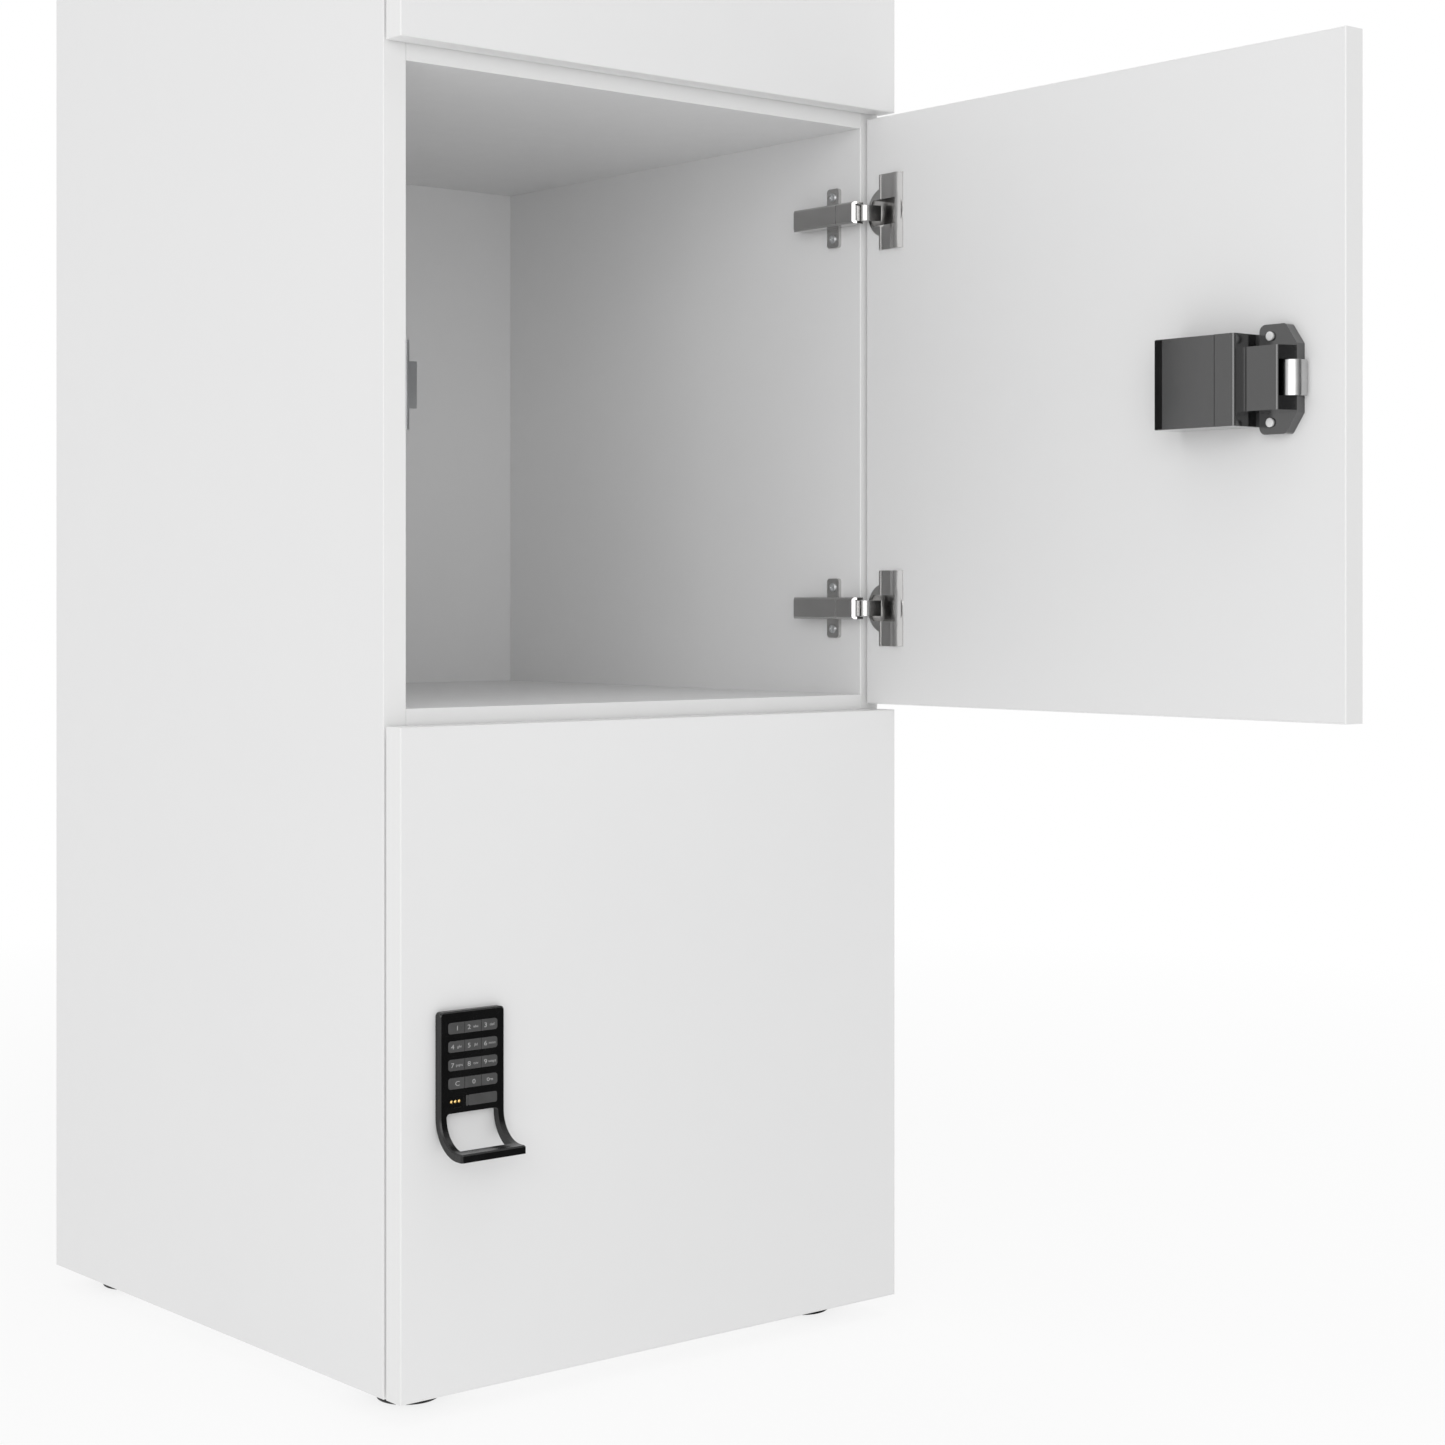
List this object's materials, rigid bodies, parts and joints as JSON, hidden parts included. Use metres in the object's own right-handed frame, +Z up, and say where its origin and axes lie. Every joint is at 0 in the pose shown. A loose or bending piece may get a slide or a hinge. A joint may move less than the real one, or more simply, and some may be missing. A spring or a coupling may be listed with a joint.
{
  "type": "parcel locker",
  "caption": "White board locker column of stacked compartments, each with a concealed-hinge door and a keypad lock whose black handle curves out to a pull lip.",
  "frame": {"origin": "foot of the carcass's flat rear face, half way across the width, level with the carcass's underside", "axes": "+X to the right seen from the front, +Y to the rear, out of the wall face, +Z up"},
  "size_m": [0.484, 0.9309, 1.3665],
  "materials": {
    "white_board": "matt white melamine face on chipboard",
    "white_edge_band": "matt white edge band",
    "beech": "fluted beech dowel",
    "black_foot": "moulded black",
    "zinc_steel": "zinc plated",
    "nickel_steel": "nickel plated, satin",
    "black_metal": "satin black",
    "black_plastic": "gloss black moulding",
    "satin_steel": "satin",
    "pale_screw": "bright zinc",
    "grey_key": "matt dark grey"
  },
  "bodies": {
    "carcass": {"side_panel_left": "white_board", "side_panel_right": "white_board", "top_panel": "white_board", "bottom_panel": "white_board", "back_panel": "white_board", "shelf_lower": "white_board", "shelf_upper": "white_board", "carcass_edge_bands": "white_edge_band", "carcass_dowels": "beech", "foot_sockets": "zinc_steel", "hinge_mounting_plates": "nickel_steel", "hinge_arms": "nickel_steel", "hinge_arm_covers": "nickel_steel", "carcass_fitting_screws": "zinc_steel", "strike_plates": "zinc_steel"},
    "door_1": {"door_1_panel": "white_board", "door_1_edge_bands": "white_edge_band", "door_1_hinge_cups": "nickel_steel", "lock_1_handle": "black_metal", "lock_1_base": "black_plastic", "lock_1_battery_cover": "black_plastic", "lock_1_screws": "pale_screw"},
    "door_2": {"door_2_panel": "white_board", "door_2_edge_bands": "white_edge_band", "door_2_hinge_cups": "nickel_steel", "lock_2_handle": "black_metal", "lock_2_base": "black_plastic", "lock_2_battery_cover": "black_plastic", "lock_2_screws": "pale_screw", "lock_2_keys": "grey_key"},
    "door_3": {"door_3_panel": "white_board", "door_3_edge_bands": "white_edge_band", "door_3_hinge_cups": "nickel_steel", "lock_3_handle": "black_metal", "lock_3_base": "black_plastic", "lock_3_battery_cover": "black_plastic", "lock_3_screws": "pale_screw", "lock_3_keys": "grey_key"},
    "hinge_links_1": {"hinge_links_1": "nickel_steel"},
    "hinge_links_2": {"hinge_links_2": "nickel_steel"},
    "hinge_links_3": {"hinge_links_3": "nickel_steel"},
    "bolt_1": {"lock_1_bolt": "satin_steel"},
    "bolt_2": {"lock_2_bolt": "satin_steel"},
    "bolt_3": {"lock_3_bolt": "satin_steel"},
    "key_1": {"lock_1_key_1": "grey_key"},
    "key_2": {"lock_1_key_2": "grey_key"},
    "key_3": {"lock_1_key_3": "grey_key"},
    "key_4": {"lock_1_key_4": "grey_key"},
    "key_5": {"lock_1_key_5": "grey_key"},
    "key_6": {"lock_1_key_6": "grey_key"},
    "key_7": {"lock_1_key_7": "grey_key"},
    "key_8": {"lock_1_key_8": "grey_key"},
    "key_9": {"lock_1_key_9": "grey_key"},
    "key_clear": {"lock_1_key_clear": "grey_key"},
    "key_0": {"lock_1_key_0": "grey_key"},
    "key_enter": {"lock_1_key_enter": "grey_key"},
    "foot_front_left": {"foot_front_left": "black_foot"},
    "foot_front_right": {"foot_front_right": "black_foot"},
    "foot_rear_left": {"foot_rear_left": "black_foot"},
    "foot_rear_right": {"foot_rear_right": "black_foot"}
  },
  "joints": [
    {"name": "door_1_swing", "type": "hinge", "parent": "carcass", "child": "door_1", "pos_m": [0.2182, -0.4882, 0.22375], "axis": [0, 0, 1], "range_deg": [0, 110]},
    {"name": "door_2_swing", "type": "hinge", "parent": "carcass", "child": "door_2", "pos_m": [0.2182, -0.4882, 0.67575], "axis": [0, 0, 1], "range_deg": [-90, 20]},
    {"name": "door_3_swing", "type": "hinge", "parent": "carcass", "child": "door_3", "pos_m": [0.2182, -0.4882, 1.12775], "axis": [0, 0, 1], "range_deg": [0, 110]},
    {"name": "hinge_links_1_turn", "type": "hinge", "parent": "carcass", "child": "hinge_links_1", "pos_m": [0.198, -0.481, 0.22375], "axis": [0, 0, 1], "range_deg": [-18.8, 0.1]},
    {"name": "hinge_links_2_turn", "type": "hinge", "parent": "carcass", "child": "hinge_links_2", "pos_m": [0.198, -0.481, 0.67575], "axis": [0, 0, 1], "range_deg": [-3.5, 15.4]},
    {"name": "hinge_links_3_turn", "type": "hinge", "parent": "carcass", "child": "hinge_links_3", "pos_m": [0.198, -0.481, 1.12775], "axis": [0, 0, 1], "range_deg": [-18.8, 0.1]},
    {"name": "bolt_1_throw", "type": "slide", "parent": "door_1", "child": "bolt_1", "axis": [-1, 0, 0], "range_m": [0, 0.008]},
    {"name": "bolt_2_throw", "type": "slide", "parent": "door_2", "child": "bolt_2", "axis": [0, -1, 0], "range_m": [0, 0.008]},
    {"name": "bolt_3_throw", "type": "slide", "parent": "door_3", "child": "bolt_3", "axis": [-1, 0, 0], "range_m": [0, 0.008]},
    {"name": "key_1_press", "type": "slide", "parent": "door_1", "child": "key_1", "axis": [0, 1, 0], "range_m": [0, 0.0008], "stiffness_N_per_m": 100, "springref_m": -0.002},
    {"name": "key_2_press", "type": "slide", "parent": "door_1", "child": "key_2", "axis": [0, 1, 0], "range_m": [0, 0.0008], "stiffness_N_per_m": 100, "springref_m": -0.002},
    {"name": "key_3_press", "type": "slide", "parent": "door_1", "child": "key_3", "axis": [0, 1, 0], "range_m": [0, 0.0008], "stiffness_N_per_m": 100, "springref_m": -0.002},
    {"name": "key_4_press", "type": "slide", "parent": "door_1", "child": "key_4", "axis": [0, 1, 0], "range_m": [0, 0.0008], "stiffness_N_per_m": 100, "springref_m": -0.002},
    {"name": "key_5_press", "type": "slide", "parent": "door_1", "child": "key_5", "axis": [0, 1, 0], "range_m": [0, 0.0008], "stiffness_N_per_m": 100, "springref_m": -0.002},
    {"name": "key_6_press", "type": "slide", "parent": "door_1", "child": "key_6", "axis": [0, 1, 0], "range_m": [0, 0.0008], "stiffness_N_per_m": 100, "springref_m": -0.002},
    {"name": "key_7_press", "type": "slide", "parent": "door_1", "child": "key_7", "axis": [0, 1, 0], "range_m": [0, 0.0008], "stiffness_N_per_m": 100, "springref_m": -0.002},
    {"name": "key_8_press", "type": "slide", "parent": "door_1", "child": "key_8", "axis": [0, 1, 0], "range_m": [0, 0.0008], "stiffness_N_per_m": 100, "springref_m": -0.002},
    {"name": "key_9_press", "type": "slide", "parent": "door_1", "child": "key_9", "axis": [0, 1, 0], "range_m": [0, 0.0008], "stiffness_N_per_m": 100, "springref_m": -0.002},
    {"name": "key_clear_press", "type": "slide", "parent": "door_1", "child": "key_clear", "axis": [0, 1, 0], "range_m": [0, 0.0008], "stiffness_N_per_m": 100, "springref_m": -0.002},
    {"name": "key_0_press", "type": "slide", "parent": "door_1", "child": "key_0", "axis": [0, 1, 0], "range_m": [0, 0.0008], "stiffness_N_per_m": 100, "springref_m": -0.002},
    {"name": "key_enter_press", "type": "slide", "parent": "door_1", "child": "key_enter", "axis": [0, 1, 0], "range_m": [0, 0.0008], "stiffness_N_per_m": 100, "springref_m": -0.002},
    {"name": "foot_front_left_level", "type": "slide", "parent": "carcass", "child": "foot_front_left", "axis": [0, 0, -1], "range_m": [0, 0.01]},
    {"name": "foot_front_right_level", "type": "slide", "parent": "carcass", "child": "foot_front_right", "axis": [0, 0, -1], "range_m": [0, 0.01]},
    {"name": "foot_rear_left_level", "type": "slide", "parent": "carcass", "child": "foot_rear_left", "axis": [0, 0, -1], "range_m": [0, 0.01]},
    {"name": "foot_rear_right_level", "type": "slide", "parent": "carcass", "child": "foot_rear_right", "axis": [0, 0, -1], "range_m": [0, 0.01]}
  ],
  "couplings": [
    {"joint": "hinge_links_1_turn", "follows": "door_1_swing", "ratio": -0.17},
    {"joint": "hinge_links_2_turn", "follows": "door_2_swing", "ratio": -0.17},
    {"joint": "hinge_links_3_turn", "follows": "door_3_swing", "ratio": -0.17}
  ]
}
